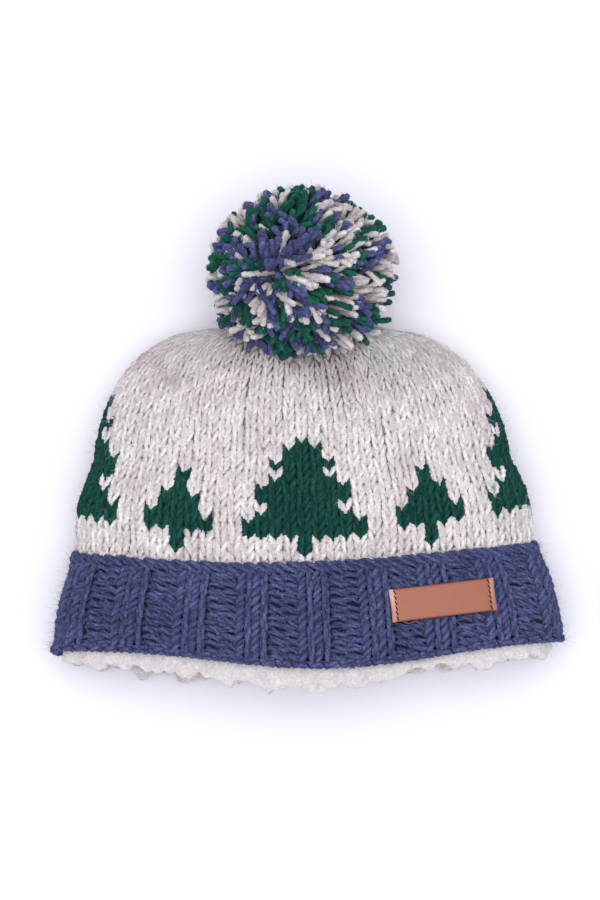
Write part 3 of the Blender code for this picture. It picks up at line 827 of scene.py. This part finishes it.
@dataclass
class Crown:
    """The stockinette crown: stitches over a soft inner wall, with fir trees above the band."""

    form: HatForm
    shift: np.ndarray
    rows: int = 32
    yarn: Yarn = Yarn(1.55 * MM, sides=7)
    tree_ground: int = 1
    tree_repeat: int = 18
    wall_sunk: float = 2.3 * MM  # how far the wall lies behind the tops of the stitches
    skin: Skin = field(init=False)

    def __post_init__(self) -> None:
        turns = turns_of(4 * WALES)
        shares = np.linspace(0, 1 - self.form.tip_opening, 97)
        self.skin = Skin(self.form.crown_grid(0.0, turns, shares), self.shift)

    def green(self, wale: int, row: int) -> bool:
        """Whether a stitch belongs to a tree."""
        half = self.tree_repeat // 2
        for centre, motif in ((0, Motif.TALL), (half, Motif.SMALL)):
            across = (wale - centre + half) % self.tree_repeat - half
            if motif.covers(across, row - self.tree_ground):
                return True
        return False

    def legs(self) -> tuple[Strands, list[tuple[int, int, int]]]:
        """All the stitches' legs, and the wale, row and step of each."""
        random = np.random.default_rng(SEED)
        points, thick, tone, keys = [], [], [], []
        for row in range(-1, self.rows):
            width = self.skin.wale_width(max(row + 0.5, 0) / self.rows)
            step = 1 if width > 3.2 * MM else 2 if width > 1.7 * MM else 4
            narrow = min(1.0, (width * step / (6.6 * MM)) ** 0.8)
            for wale in range(0, WALES, step):
                nudge = random.normal(0, 1, 5)
                sway, slack = self.wander(wale, row)
                for side in (-1, 1):
                    own = random.normal(0, 1, 2)
                    across = side * LEG[:, 0] * step * (1 + 0.07 * own[0]) + 0.022 * nudge[0] + sway
                    turn = (wale + (step - 1) / 2 + across) / WALES
                    rise = (row + LEG[:, 1] + 0.06 * nudge[1] + 0.05 * own[1] + slack) / self.rows
                    lift = (-1.05 + 0.75 * LEG[:, 2] + 0.10 * nudge[2]) * self.yarn.radius * narrow
                    points.append((turn, rise, lift))
                    thick.append(LEG[:, 3] * narrow * (1 + 0.06 * nudge[3] + 0.5 * slack))
                    # a stitch's tone is random, less the painted shade of the hollow and the crease round the
                    # pompom
                    tone.append(random.random() - self.painted_shade(wale, row))
                    keys.append((wale, row, step))
        turn, rise, lift = (np.array(values) for values in zip(*points))
        placed = self.skin.place(turn, rise, lift)
        placed[..., 2] = np.maximum(placed[..., 2], self.yarn.radius * np.array(thick))
        return Strands(placed, np.array(thick), np.array(tone)), keys

    @staticmethod
    def wander(wale: int, row: int) -> tuple[float, float]:
        """How far hand tension moves a stitch across, in wales, and up, in rows."""
        sway = noise.noise(Vector((wale * 0.31, row * 0.16, 3.0))) * 0.16
        slack = noise.noise(Vector((wale * 0.22, row * 0.30, 9.0))) * 0.30
        return sway, slack

    def painted_shade(self, wale: int, row: int) -> float:
        """How much painted shade a stitch gets: an arched patch of shade over the hollow round the pompom, and a
        slanting line of shade along a crease.
        """
        turn, rise = (wale / WALES + 0.5) % 1.0 - 0.5, row / self.rows
        edge = max(0.67 - 14.0 * (turn + 0.03) ** 2, 0.47)
        crease = math.exp(-(((turn - 0.0165 - 0.20 * (0.76 - rise)) / 0.012) ** 2)) * float(rise > 0.42)
        return 0.85 * float(smooth((rise - edge) / 0.10)) + 0.45 * crease

    def make(self) -> list[bpy.types.Object]:
        """Builds the inner wall and the stitches, apart by colour and side."""
        strands, keys = self.legs()
        green = np.array([self.green(wale, row) for wale, row, _ in keys])
        front = np.array([math.cos(2 * math.pi * wale / WALES) > -0.15 for wale, _, _ in keys])
        oatmeal, pine = OATMEAL.build("oatmeal_yarn"), GREEN.build("green_yarn")
        made = [self.wall()]
        for name, chosen, wool, finish in (
            ("crown_front", ~green & front, oatmeal, OATMEAL),
            ("crown_back", ~green & ~front, oatmeal, OATMEAL),
            ("fir_trees", green, pine, GREEN),
        ):
            part = strands.only(chosen)
            made.append(self.yarn.spin(name, part, wool, finish.slot))
            centre = self.skin.grid.reshape(-1, 3).mean(axis=0)
            fibres = 5000 if finish is OATMEAL else 1500
            made.append(Fuzz().spin(
                f"{name}_fuzz", part, self.yarn.radius, centre, fibres, finish, finish.slot
            ))
        return made

    def wall(self) -> bpy.types.Object:
        """The inside of the knitting, seen between the stitches and through the rim, in darker wool that paints
        the shade there.
        """
        turns = turns_of(2 * WALES)
        shares = np.linspace(0, 1 - self.form.tip_opening, self.rows * 2 + 1)
        outside = self.form.crown_grid(0.0, turns, shares)
        inside = outside - outward(outside) * self.form.crown_wall
        outside = outside - outward(outside) * self.wall_sunk
        for grid in (outside, inside):
            grid += self.shift
        outside[..., 2] = np.maximum(outside[..., 2], 0.6 * MM)
        inside[..., 2] = np.maximum(inside[..., 2], 2.0 * MM)
        builder = bmesh.new()
        add_sleeve(builder, outside, inside, tip=True)
        builder.faces.ensure_lookup_table()
        # the green yarn is carried behind its stitches, so no pale wall shows between them
        for row in range(self.rows * 2):
            for column in range(WALES * 2):
                if self.green((column + 1) // 2 % WALES, row // 2):
                    builder.faces[row * WALES * 2 + column].material_index = 1
        wall = mesh_piece("crown_wall", builder, SHADED_OATMEAL_WALL.build("oatmeal_wall_painted_shade"))
        # the green floats, with painted shade on their outer face
        wall.data.materials.append(replace(GREEN, groove=0.7).build("green_floats"))
        return wall


@dataclass
class Band:
    """The ribbed band: pairs of knitted and purled columns between a cast-on edge and a purl ridge."""

    form: HatForm
    shift: np.ndarray
    rows: int = 11
    yarn: Yarn = Yarn(1.52 * MM)
    valley: float = 1.9 * MM
    slant: float = 0.42
    wall_sunk: float = 3.6 * MM
    edge: float = 0.045  # the rises of the cast-on edge and of the first and the last row
    low: float = 0.085
    high: float = 0.935
    skin: Skin = field(init=False)

    def __post_init__(self) -> None:
        section = self.form.band_section(np.linspace(0, 1, 25), 0.0)
        self.skin = Skin(self.form.rings(section, turns_of(4 * WALES)), self.shift)

    def stitches(self) -> Strands:
        """All the yarn of the band, from the cast-on edge to the ridge."""
        random = np.random.default_rng(SEED + 1)
        laid = []
        for wale in range(WALES):
            stitch = self.knit if wale % 4 < 2 else self.purl
            for row in range(self.rows):
                laid += stitch(wale, row, random)
            laid += self.ridge(wale, random) + self.cast_on(wale)
        turn, rise, lift, thick = (np.array(values) for values in zip(*laid))
        placed = self.skin.place(turn, rise, lift)
        placed[..., 2] = np.maximum(placed[..., 2], self.yarn.radius * thick)
        return Strands(placed, thick, random.random(len(thick)))

    def knit(self, wale: int, row: int, random: np.random.Generator) -> list[tuple]:
        """A stitch of a rib, closed at the top: its left leg slants and its right one stands upright."""
        nudge = random.normal(0, 1, 4)
        pitch = (self.high - self.low) / self.rows
        rise = self.low + (row + 0.93 - 0.86 * LEG[:, 1] + 0.06 * nudge[1]) * pitch
        lift = (-1.0 + 0.8 * LEG[:, 2] + 0.08 * nudge[2]) * self.yarn.radius
        thick = LEG[:, 3] * (0.97 + 0.05 * nudge[3])
        return [
            ((wale + across + 0.02 * nudge[0]) / WALES, rise, lift, thick)
            for across in (0.02 - 1.15 * LEG[:, 0], 0.13 + 0.55 * LEG[:, 0])
        ]

    def purl(self, wale: int, row: int, random: np.random.Generator) -> list[tuple]:
        """The two wavy bumps of a purled stitch, sunk between the ribs but level at the ridge and edge."""
        pitch = (self.high - self.low) / self.rows
        slope = self.slant * (1 + 0.8 * noise.noise(Vector((wale // 4 * 1.7, 0.5, 2.0))))
        laid = []
        for half, flip in ((0.0, 1), (0.5, -1)):
            nudge = random.normal(0, 1, 5)
            bow = 1.5 * BUMP[:, 1] * flip - (slope + 0.20 * nudge[2]) * BUMP[:, 0] + 0.09 * nudge[1]
            rise = self.low + (row + half + bow) * pitch
            sunk = smooth((rise - 0.04) / 0.10) * (1 - smooth((rise - 0.80) / 0.14))
            lift = (-1.0 + 0.7 * BUMP[:, 2] + 0.12 * nudge[3]) * self.yarn.radius - 0.85 * self.valley * sunk
            turn = (wale + 0.5 * half + BUMP[:, 0] * 1.05 + 0.05 * nudge[0]) / WALES
            laid.append((turn, rise, lift, BUMP[:, 3] * (0.80 + 0.07 * nudge[4])))
        return laid

    def ridge(self, wale: int, random: np.random.Generator) -> list[tuple]:
        """Two slanting bumps of the purled ridge under the crown."""
        laid = []
        for lane, centre in enumerate((0.945, 0.982)):
            nudge = random.normal(0, 1, 3)
            rise = centre - 0.05 * BUMP[:, 0] + 0.03 * BUMP[:, 1] + 0.004 * nudge[0]
            lift = (-0.85 + 0.8 * BUMP[:, 2] + 0.08 * nudge[1]) * self.yarn.radius + 0.3 * MM
            turn = (wale + 0.5 * lane + BUMP[:, 0] * 1.15) / WALES
            laid.append((turn, rise, lift, BUMP[:, 3] * (0.92 + 0.05 * nudge[2])))
        return laid

    def cast_on(self, wale: int) -> list[tuple]:
        """The edge over one column: two strands wound once round each other."""
        share = np.linspace(0, 1, len(BUMP))
        laid = []
        for start in (0.0, math.pi):
            wind = 2 * math.pi * share + start
            lift = (-0.95 + 0.55 * np.cos(wind)) * self.yarn.radius
            rise = self.edge + 0.018 * np.sin(wind)
            laid.append(((wale + share) / WALES, rise, lift, np.full(len(BUMP), 0.92)))
        return laid

    def make(self) -> list[bpy.types.Object]:
        """Builds the inner wall and the stitches, apart by side."""
        wool = BLUE.build("blue_yarn")
        strands = self.stitches()
        middle = strands.points[:, 3, 2]
        front = middle > self.form.rim_height * self.form.fold_share
        made = [self.wall()]
        for name, chosen in (("band_front", front), ("band_back", ~front)):
            part = strands.only(chosen)
            made.append(self.yarn.spin(name, part, wool, BLUE.slot))
            centre = self.skin.grid.reshape(-1, 3).mean(axis=0)
            made.append(Fuzz().spin(f"{name}_fuzz", part, self.yarn.radius, centre, 5000, BLUE, BLUE.slot))
        return made

    def wall(self) -> bpy.types.Object:
        """The inside of the band, behind the stitches, in darker blue that paints the shade between them."""
        turns = turns_of(2 * WALES)
        rise = np.linspace(self.edge, 0.985, 12)
        outside = self.form.rings(self.form.band_section(rise, 0.0), turns)
        outside -= outward(outside) * self.wall_sunk
        inside = self.form.rings(self.form.band_inside(rise, 0.0), turns)
        for grid in (outside, inside):
            grid += self.shift
        outside[..., 2] = np.maximum(outside[..., 2], 1.5 * MM)
        builder = bmesh.new()
        add_sleeve(builder, outside, inside, tip=False)
        return mesh_piece("band_wall", builder, SHADED_BLUE_WALL.build("blue_wall_painted_shade"))


@dataclass
class Lining:
    """The fleece strip inside the band, cut unevenly, with its edge past the rim."""

    form: HatForm
    shift: np.ndarray
    thickness: float = 2.8 * MM
    clearance: float = 0.4 * MM
    show: float = 6.4 * MM
    ragged: float = 2.6 * MM
    taper: float = 0.5 * MM  # its upper edge stands this much further off the crown
    columns: int = 576

    def edge(self, turns: np.ndarray) -> np.ndarray:
        """How far the edge shows past the rim: long soft bows cut by short points, longest at the right."""
        saw = 0.55 * np.cos(4 * math.pi * turns) + 0.30 * np.sin(2 * math.pi * (5 * turns + 0.10))
        saw = saw + 1.6 * np.exp(-(((turns - 0.172) / 0.036) ** 2))
        for count, start, share in ((17, 0.13, 0.75), (29, 0.57, 0.95), (47, 0.21, 0.70), (83, 0.4, 0.45)):
            drift = 0.35 * np.sin(2 * math.pi * (3 * turns + start))
            phase = np.mod(count * turns + start + drift, 1.0)
            saw = saw + share * (np.where(phase < 0.7, phase / 0.7, (1 - phase) / 0.3) - 0.5)
        return np.maximum(self.show + self.ragged * saw, 1.2 * MM)

    def make(self) -> bpy.types.Object:
        """Builds the strip as one closed wall."""
        turns = turns_of(self.columns)
        show = self.edge(turns)
        up_crown = (self.form.lining_depth - self.form.band_depth) / self.form.crown_length
        skins = []
        for depth in (self.clearance, self.clearance + self.thickness):
            low = self.form.rings(self.form.band_inside(np.linspace(0, 1, 7), depth), turns)
            inset = self.form.crown_wall + depth + self.taper
            high = self.form.rings(self.form.crown_section(np.array([0.5, 1.0]) * up_crown, inset), turns)
            past = []
            for share in (1.0, 0.94, 0.8, 0.6, 0.4, 0.2):
                ring = low[0].copy()
                ring[:, 1] -= show * share
                past.append(ring)
            skins.append(np.vstack([np.array(past), low, high]))
        normal = outward(skins[0])
        free = np.array([1.0, 0.95, 0.8, 0.55, 0.3, 0.1] + [0.0] * 9)[: len(skins[0])]
        ruffle = 1.3 * MM * np.sin(2 * math.pi * 19 * turns + 1.0)
        ruffle = ruffle + 1.0 * MM * np.sin(2 * math.pi * 41 * turns)
        edge_round = np.array([1.05, 0.45, 0.1] + [0.0] * 12)[: len(skins[0])] * MM
        for sign, skin in zip((1, -1), skins):
            skin += normal * (np.outer(free, ruffle) - sign * edge_round[:, None])[..., None]
            for i in range(7):
                for j in range(self.columns):
                    wobble = noise.noise(Vector(skin[i, j]) * 330) * 0.75 * MM + noise.noise(
                        Vector(skin[i, j]) * 1100
                    ) * 0.22 * MM
                    skin[i, j] += normal[i, j] * wobble * sign
            skin += self.shift
            skin[..., 2] = np.maximum(skin[..., 2], 0.8 * MM)
        builder = bmesh.new()
        add_sleeve(builder, skins[0], skins[1], tip=False)
        finish = FleeceFinish()
        obj = mesh_piece("fleece_lining", builder, finish.build("white_fleece_pile"))
        return obj


@dataclass
class Label:
    """The leather strip on the band, stitched down at both ends."""

    band: Band
    length: float = 50 * MM
    width: float = 15.5 * MM
    thickness: float = 1.5 * MM
    inset: float = 60.3 * MM
    rise: float = 22 * MM
    tilt: float = math.radians(6.8)
    clearance: float = 0.3 * MM
    seam: float = 2.7 * MM

    def __post_init__(self) -> None:
        self.tree = self.band.skin.tree()

    def seat(self, p: float, q: float, lift: float) -> Vector:
        """The point at a lift above the band under the strip's own coordinates."""
        across = self.band.form.rim_width / 2 - self.inset
        x = across + p * math.cos(self.tilt) - q * math.sin(self.tilt) + self.band.shift[0]
        y = self.rise + p * math.sin(self.tilt) + q * math.cos(self.tilt) + self.band.shift[1]
        hit, normal, _, _ = self.tree.ray_cast(Vector((x, y, 1.0)), Vector((0, 0, -1)))
        return hit + (normal if normal.z > 0 else -normal) * (self.clearance + lift)

    def make(self) -> list[bpy.types.Object]:
        """Builds the strip, its seams and the loose end of thread."""
        builder = bmesh.new()
        wear_and_shade = builder.verts.layers.float.new("wear_and_shade")
        columns, rows = 61, 21
        p = np.linspace(-self.length / 2, self.length / 2, columns)
        q = np.linspace(-self.width / 2, self.width / 2, rows)
        layers = []
        for top in (False, True):
            layer = []
            for i, u in enumerate(p):
                column = []
                for v in q:
                    near = min(self.length / 2 - abs(u), self.width / 2 - abs(v))
                    corner = max(0.0, 1.0 * MM - near) / MM
                    lift = self.thickness * (0.94 - 0.30 * corner**2) if top else 0.05 * self.thickness
                    away = abs(abs(u) - (self.length / 2 - self.seam))
                    if top:
                        lift -= 0.32 * MM * math.exp(-((away / (0.6 * MM)) ** 2))
                    pull = 1 - 0.012 * math.cos(math.pi * v / self.width)
                    vert = builder.verts.new(self.seat(u * pull, v, lift))
                    end = smooth((abs(u) - self.length / 2 + 3.4 * MM) / (1.8 * MM))
                    worn = (0.95 if u < 0 else 0.45) * end
                    worn = worn * (0.75 + 0.35 * math.sin(math.pi * v / self.width))
                    # the seam crease and the rim of the top are painted darker as shade; the lower layer takes
                    # the edge colour, dyed edge and painted shade together
                    crease = 0.35 * math.exp(-((away / (0.35 * MM)) ** 2))
                    vert[wear_and_shade] = float(worn - crease - 0.75 * corner**2 * (1 - end)) if top else -1.0
                    column.append(vert)
                layer.append(column)
            layers.append(layer)
        for layer in layers:
            for i in range(columns - 1):
                for j in range(rows - 1):
                    builder.faces.new((layer[i][j], layer[i + 1][j], layer[i + 1][j + 1], layer[i][j + 1]))
        edge = (
            [(i, 0) for i in range(columns)]
            + [(columns - 1, j) for j in range(1, rows)]
            + [(i, rows - 1) for i in range(columns - 2, -1, -1)]
            + [(0, j) for j in range(rows - 2, 0, -1)]
        )
        join_rings(builder, [layers[0][i][j] for i, j in edge], [layers[1][i][j] for i, j in edge])
        finish = LeatherFinish()
        strip = mesh_piece("leather_label", builder, finish.build("tan_leather_grain"))
        return [strip, self.seams(), self.loose_end()]

    def seams(self) -> bpy.types.Object:
        """Short stitches of dark thread across both ends."""
        paths = []
        for side in (-1, 1):
            u = side * (self.length / 2 - self.seam)
            for v in np.linspace(-self.width / 2 + 1.7 * MM, self.width / 2 - 1.7 * MM, 6):
                half = 0.80 * MM
                paths.append([
                    self.seat(u - 0.34 * MM * s, v + half * s, self.thickness * 0.80 + 0.20 * MM * lift)
                    for s, lift in ((-1.1, -1.2), (-0.8, 0.6), (0, 1.2), (0.8, 0.6), (1.1, -1.2))
                ])
        thread = WoolFinish("#5a2f2c", "#8a5c50", "#2a1412", "#4b2724", "tan_leather", sheen=0.1)
        count = len(paths)
        strands = Strands(np.array(paths), np.ones((count, 5)), np.linspace(0, 1, count))
        brown = thread.build("brown_thread")
        return Yarn(0.31 * MM, 6, 0.1, 500).spin("label_seams", strands, brown, thread.slot)

    def loose_end(self) -> bpy.types.Object:
        """An end of thin thread that curls out below the strip."""
        places = (
            (-21, -7.2), (-18.8, -8.6), (-17, -9.0), (-15.2, -8.6), (-13.6, -8.4), (-12.2, -10), (-10.4, -12.9),
        )
        path = [self.seat(u * MM, v * MM, 0.6 * MM) for u, v in places]
        thread = WoolFinish("#c09a8c", "#dcc0b4", "#7a5548", "#b08a7e", "tan_leather", sheen=0.1)
        strands = Strands(np.array([path]), np.ones((1, len(path))), np.array([0.3]))
        return Yarn(0.18 * MM, 6, 0.1, 500, capped=True).spin(
            "loose_thread", strands, thread.build("tan_thread"), thread.slot
        )


@dataclass
class Pompom:
    """A ball of cut yarn in three colours, whose strands fall over one another and over the gathered tip."""

    form: HatForm
    crown: Crown
    width: float = 98 * MM
    length: float = 82 * MM
    height: float = 84 * MM
    standoff: float = 24 * MM
    press: float = 4 * MM
    strands: int = 2050
    clumps: int = 620
    flop: float = 0.42
    yarn: Yarn = Yarn(1.58 * MM, 7, 0.10, 45, capped=True)
    parting: tuple[float, float, float] = (-0.28, -0.24, 0.0)  # where the upper strands fall away from
    # root darkens the strands deep in the ball as painted shade, and tip sets how much lighter their ends are
    # painted where light falls on them
    wools: tuple = (
        ("green", replace(GREEN, base="#1e5e4d", light="#57a084", root=0.27, tip=1.26, plies=260)),
        ("blue", replace(BLUE, base="#595f91", light="#a8abd2", groove=0.4, root=0.27, tip=1.20, plies=260)),
        ("oatmeal", replace(OATMEAL, root=0.34, tip=0.88, plies=260)),
    )

    def __post_init__(self) -> None:
        self.tree = self.crown.skin.tree()
        along = self.form.band_depth + self.form.crown_length + self.standoff
        self.middle = np.array([-self.form.lean, along, self.height / 2 - self.press]) + self.crown.shift
        self.radii = np.array([self.width, self.length, self.height]) / 2

    def make(self) -> list[bpy.types.Object]:
        """Builds the head and the strands of each colour."""
        random = np.random.default_rng(SEED + 2)
        count = self.strands
        index = np.arange(count) + 0.5
        z = 1 - 2 * index / count
        turn = index * math.pi * (3 - math.sqrt(5))
        flat = np.sqrt(1 - z * z)
        ends = np.stack([flat * np.cos(turn), flat * np.sin(turn), z], axis=1)
        ends = unit(ends + random.normal(0, 0.075, ends.shape))
        # the upper strands flop outwards from the parting, most where they hang over the crown
        fall = ends - np.array(self.parting)
        fall[:, 2] = 0
        far = np.linalg.norm(fall, axis=1, keepdims=True)
        towards_crown = 1 - 0.7 * np.maximum(ends[:, 1:2], 0) - 0.25 * np.minimum(ends[:, 1:2], 0)
        flop = self.flop * smooth(far / 0.45) * np.clip(ends[:, 2:3] + 0.45, 0, 1) * towards_crown
        roots = unit(ends - unit(fall) * flop + random.normal(0, 0.15, ends.shape))
        length = random.normal(0.94, 0.065, count).clip(0.72, 1.03)
        # the ball isn't clipped evenly: it is flatter at its sides, most on the left
        length *= 1 - 0.035 * np.abs(ends[:, 0]) - 0.075 * np.maximum(-ends[:, 0], 0)
        # the parting opens onto the heart of the ball, whose near-black colour paints the shade deep inside it
        opened = 0.40 * np.exp(-((far[:, 0] / 0.26) ** 2)) * (ends[:, 2] > 0)
        length -= opened * (0.3 + 0.7 * random.random(count))
        length += 0.11 * (ends[:, 1] < -0.5) * random.random(count) ** 2
        share = np.array([0, 0.38, 0.56, 0.70, 0.81, 0.90, 0.965, 1.0])
        bend = np.cross(ends, random.normal(0, 1, ends.shape)) * 1.6 * MM
        paths = np.zeros((count, len(share), 3))
        for i, s in enumerate(share):
            direction = unit(roots * (1 - s**1.5) + ends * s**1.5)
            reach = 0.50 + (length - 0.50) * s
            paths[:, i] = self.middle + direction * self.radii * reach[:, None] + bend * math.sin(math.pi * s)
        paths = self.draped(paths)
        thick = np.tile(np.array([0.60, 0.74, 0.86, 0.94, 1.00, 1.04, 1.02, 0.72]), (count, 1))
        thick *= random.normal(1, 0.08, (count, 1))
        tone = random.random(count)
        clumps = unit(random.normal(0, 1, (self.clumps, 3)))
        nearest = np.argmax(ends @ clumps.T + random.normal(0, 0.004, (count, self.clumps)), axis=1)
        colours = random.choice(len(self.wools), self.clumps)[nearest]
        strands = Strands(paths, thick, tone)
        made = [self.head()]
        for k, (name, finish) in enumerate(self.wools):
            part = strands.only(colours == k)
            wool = finish.build(f"pompom_{name}_yarn")
            made.append(self.yarn.spin(f"pompom_{name}", part, wool, "mixed_wool"))
            outer = Strands(part.points[:, 3:], part.thick[:, 3:], part.tone)
            made.append(Fuzz(width=0.05 * MM, length=1.5 * MM).spin(
                f"pompom_{name}_fuzz", outer, self.yarn.radius, self.middle, 4500, finish, "mixed_wool",
            ))
        return made

    def draped(self, paths: np.ndarray) -> np.ndarray:
        """The paths kept above the surface that the hat lies on and over the crown."""
        r = self.yarn.radius * 1.1
        for path in paths:
            for k, point in enumerate(path):
                point[2] = max(point[2], r)
                over = self.tree.ray_cast(Vector((point[0], point[1], 1.0)), Vector((0, 0, -1)))[0]
                if over is None or point[2] > over.z + r:
                    continue
                if k < 3 or over.z - point[2] > 9 * MM:
                    path[k:] = path[max(k - 1, 0)] + (path[k:] - path[max(k - 1, 0)]) * 0.12
                    break
                point[2] = over.z + r
        return paths

    def head(self) -> bpy.types.Object:
        """The dense middle that the strands stand on, near black to paint the deep shade between the strands."""
        builder = bmesh.new()
        bmesh.ops.create_icosphere(builder, subdivisions=5, radius=1.0)
        for vert in builder.verts:
            way = vert.co.normalized()
            bumpy = 0.66 + 0.05 * noise.noise(way * 14)
            vert.co = Vector(self.middle + np.array(way) * self.radii * bumpy)
            near = self.tree.find_nearest(vert.co, 0.02)
            if near[0] is not None and (vert.co - near[0]).dot(near[1]) < 0:
                vert.co = near[0]
        # near-black wool that paints the shade deep between the strands
        dark = WoolFinish("#232a3c", "#3a4560", "#0d1018", "#1d3a33", "mixed_wool")
        return mesh_piece("pompom_head", builder, dark.build("pompom_heart_painted_shade"))


# The studio


@dataclass
class Studio:
    """A pale floor under broad soft light, seen from almost straight above."""

    target: Vector
    elevation: float = math.radians(84)
    distance: float = 0.90
    across_px: float = 0.49 * MM
    frame_height: int = 900

    def make(self) -> None:
        """Builds the floor, the lights and the camera."""
        self.floor()
        self.lights()
        self.camera()

    def floor(self) -> None:
        """A wide sheet of white paper with a slight violet cast."""
        builder = bmesh.new()
        size = 3.0
        square = ((-1, -1), (1, -1), (1, 1), (-1, 1))
        builder.faces.new([builder.verts.new((x * size, y * size, 0)) for x, y in square])
        mesh = bpy.data.meshes.new("floor")
        builder.to_mesh(mesh)
        builder.free()
        paper = {"Base Color": linear("#ebeaf1"), "Roughness": 0.95, "Specular IOR Level": 0.1}
        mesh.materials.append(blank("white_paper", paper)[0])
        obj = bpy.data.objects.new("floor", mesh)
        bpy.context.scene.collection.objects.link(obj)

    def lights(self) -> None:
        """One wide overhead panel, a little towards the rim's side, and an even sky."""
        scene = bpy.context.scene
        scene.view_settings.view_transform = "Standard"
        world = bpy.data.worlds.new("studio")
        scene.world = world
        world.use_nodes = True
        sky = world.node_tree.nodes["Background"]
        sky.inputs["Color"].default_value = linear("#f4f5ff")
        sky.inputs["Strength"].default_value = 0.80
        light = bpy.data.lights.new("overhead", "AREA")
        light.shape, light.size, light.energy = "DISK", 1.8, 20.0
        light.color = (1.0, 0.985, 0.97)
        place = Vector((-0.03, -0.04, 1.6))
        obj = bpy.data.objects.new("overhead", light)
        facing = (Vector((0, 0, 0)) - place).to_track_quat("-Z", "Y").to_matrix().to_4x4()
        obj.matrix_world = Matrix.Translation(place) @ facing
        scene.collection.objects.link(obj)

    def camera(self) -> None:
        """The lens that shows the hat at the size it has in the frame."""
        camera = bpy.data.cameras.new("camera")
        camera.sensor_fit = "VERTICAL"
        camera.sensor_height = 36.0
        camera.lens = camera.sensor_height * self.distance / (self.frame_height * self.across_px)
        camera.clip_end = 20
        back = Vector((0, -math.cos(self.elevation), math.sin(self.elevation)))
        place = self.target + back * self.distance
        obj = bpy.data.objects.new("camera", camera)
        obj.matrix_world = Matrix.Translation(place) @ back.to_track_quat("Z", "Y").to_matrix().to_4x4()
        bpy.context.scene.collection.objects.link(obj)
        bpy.context.scene.camera = obj


def main() -> None:
    """Builds the hat and its studio."""
    logging.basicConfig(level=logging.INFO, format="%(message)s")
    form = HatForm()
    plain = form.rings(form.band_section(np.array([0.0, 0.3, 1.0]), 0.0), turns_of(4 * WALES))
    low, high = (np.array(corner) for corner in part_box("band"))
    middle = (plain.reshape(-1, 3).max(axis=0) + plain.reshape(-1, 3).min(axis=0)) / 2
    shift = (low + high) / 2 - middle
    shift[2] = 0.0
    LOG.info("shift %s", shift)
    crown = Crown(form, shift)
    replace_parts(crown.make()[0], "crown")
    # the knitted edge hangs a little less than the fleece behind it, and lies lowest right of the middle
    band = Band(replace(form, front_bow=replace(form.front_bow, rim=10.6 * MM), bow_turn=0.022), shift)
    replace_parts(band.make()[0], "band")
    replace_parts(Lining(form, shift).make(), "lining")
    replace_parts(Label(band).make()[0], "label")
    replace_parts(Pompom(form, crown).make()[0], "pompom")
    Studio(Vector((shift[0] - 3.7 * MM, shift[1] + 96 * MM, 20 * MM))).make()


if __name__ == "__main__":
    main()
